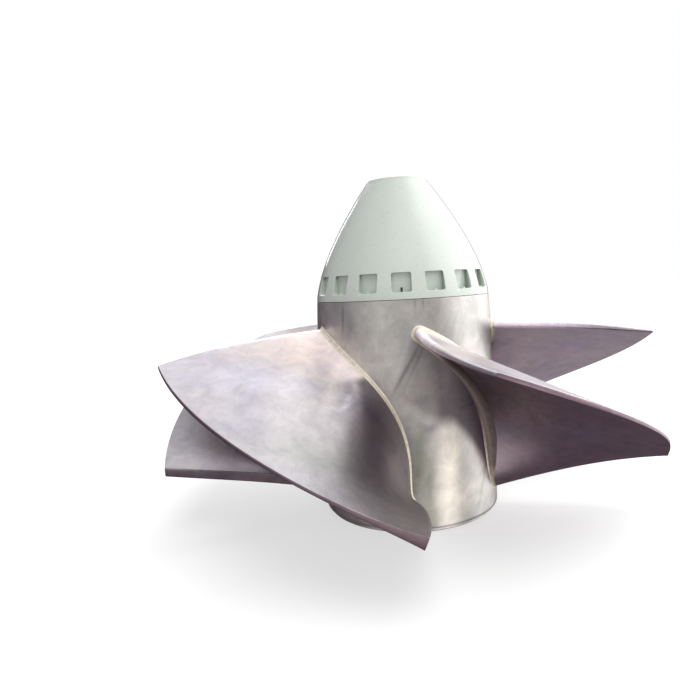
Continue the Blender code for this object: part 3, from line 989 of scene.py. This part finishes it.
def make_world():
    """A soft room, and plain white where the camera looks past the object."""
    world = bpy.data.worlds.new("studio")
    bpy.context.scene.world = world
    world.use_nodes = True
    tree = world.node_tree
    tree.nodes.clear()
    new, link = tree.nodes.new, tree.links.new
    coords = new("ShaderNodeTexCoord")
    light = new("ShaderNodeBackground")
    link(room_color(tree, coords.outputs["Generated"]), light.inputs["Color"])
    white = new("ShaderNodeBackground")
    white.inputs["Color"].default_value = (1.0, 1.0, 1.0, 1.0)
    path = new("ShaderNodeLightPath")
    mixer = new("ShaderNodeMixShader")
    link(path.outputs["Is Camera Ray"], mixer.inputs["Fac"])
    link(light.outputs["Background"], mixer.inputs[1])
    link(white.outputs["Background"], mixer.inputs[2])
    out = new("ShaderNodeOutputWorld")
    link(mixer.outputs["Shader"], out.inputs["Surface"])


# Lights: where the sun stands, and tall windows as start, end, width, radiance
SUN_PLACE = (0.4, -1.1, 2.7)
SUN_ENERGY = 2.0
SUN_ANGLE = math.radians(40.0)
WINDOWS = {
    "right_window": ((4.5, -0.6, 2.55), (4.5, 1.1, 4.5), 0.16, 16.0),
    "far_window": ((3.9, 3.3, 2.2), (3.0, 3.9, 3.6), 0.20, 14.0),
    "left_window": ((-2.4, 4.2, 2.2), (-2.4, 4.2, 3.8), 0.50, 3.5),
}
BOUNCE = ((1.3, 0.35, 0.004), (1.3, 3.2, 0.004), 3.6, 0.36)
BOUNCE_TARGET = (1.3, 1.775, 5.0)
PANEL_TARGET = (0.0, 0.0, 1.5)


def add_light(name, data, matrix, glossy=True):
    """A light that the camera itself doesn't see."""
    light = bpy.data.objects.new(name, data)
    light.matrix_world = matrix
    light.visible_camera = False
    light.visible_glossy = glossy
    bpy.context.scene.collection.objects.link(light)


def facing(place, target, along):
    """A light's matrix: it looks at the target, and its height runs along a direction."""
    back = (Vector(place) - Vector(target)).normalized()
    side = Vector(along).cross(back).normalized()
    axes = Matrix((side, back.cross(side), back)).transposed().to_4x4()
    return Matrix.Translation(place) @ axes


def panel(name, start, end, width, radiance, target=PANEL_TARGET):
    """A bright rectangle from one point to another that faces the target."""
    start, end = Vector(start), Vector(end)
    data = bpy.data.lights.new(name, "AREA")
    data.shape = "RECTANGLE"
    data.size = width
    data.size_y = (end - start).length
    data.energy = radiance * math.pi * data.size * data.size_y
    add_light(name, data, facing((start + end) / 2.0, target, end - start))


def make_lights():
    """A broad soft sun for the floor and the paint, and tall windows that draw lines on the gloss."""
    data = bpy.data.lights.new("skylight", "SUN")
    data.energy = SUN_ENERGY
    data.angle = SUN_ANGLE
    add_light("skylight", data, facing(SUN_PLACE, (0.0, 0.0, 0.0), (0.0, 1.0, 0.0)), glossy=False)
    for name, values in WINDOWS.items():
        panel(name, *values)
    panel("floor_bounce", *BOUNCE, BOUNCE_TARGET)


# Camera: the picture's size, focal length and optical centre in pixels
CAMERA_PLACE = (0.0, -3.3675, 1.2915)
CAMERA_TURNS = (4.618, -3.776, -3.1)
IMAGE_SIZE = (680.0, 679.0)
FOCAL_LENGTH = 576.22
OPTICAL_CENTRE = (365.68, 330.28)
SENSOR_WIDTH = 36.0
CLIP_END = 300.0


def make_camera():
    """The camera, turned down, to the side and over by the pitch, yaw and roll."""
    pitch, yaw, roll = (math.radians(turn) for turn in CAMERA_TURNS)
    forward = Vector((math.sin(yaw) * math.cos(pitch), math.cos(yaw) * math.cos(pitch), -math.sin(pitch)))
    right = Vector((math.cos(yaw), -math.sin(yaw), 0.0))
    up = right.cross(forward)
    rolled_right = math.cos(roll) * right + math.sin(roll) * up
    rolled_up = math.cos(roll) * up - math.sin(roll) * right
    data = bpy.data.cameras.new("camera")
    data.sensor_fit = "HORIZONTAL"
    width, height = IMAGE_SIZE
    data.sensor_width = SENSOR_WIDTH
    data.lens = SENSOR_WIDTH * FOCAL_LENGTH / width
    data.shift_x = (width / 2.0 - OPTICAL_CENTRE[0]) / width
    data.shift_y = (OPTICAL_CENTRE[1] - height / 2.0) / width
    data.clip_end = CLIP_END
    camera = bpy.data.objects.new("camera", data)
    axes = Matrix((rolled_right, rolled_up, -forward)).transposed().to_4x4()
    camera.matrix_world = Matrix.Translation(CAMERA_PLACE) @ axes
    bpy.context.scene.collection.objects.link(camera)
    bpy.context.scene.camera = camera


def main():
    """Materials, then pieces, then the stage round them."""
    bpy.context.scene.view_settings.view_transform = "Standard"
    blade_steel = ground_steel("blade_steel", (0.50, 0.48, 0.52), (0.60, 0.565, 0.56), (0.9, -0.5), 0.38)
    barrel_steel = ground_steel("barrel_steel", (0.47, 0.47, 0.45), (0.58, 0.56, 0.53), (1.05, 1.45), 0.36)
    bead = weld_metal()
    paint = green_paint()
    make_hub(barrel_steel)
    for number in range(BLADE_COUNT):
        make_blade(number, blade_steel)
        make_weld(number, bead)
    make_cone(paint)
    make_bolts(paint, bolt_metal())
    make_floor()
    make_world()
    make_lights()
    make_camera()


main()
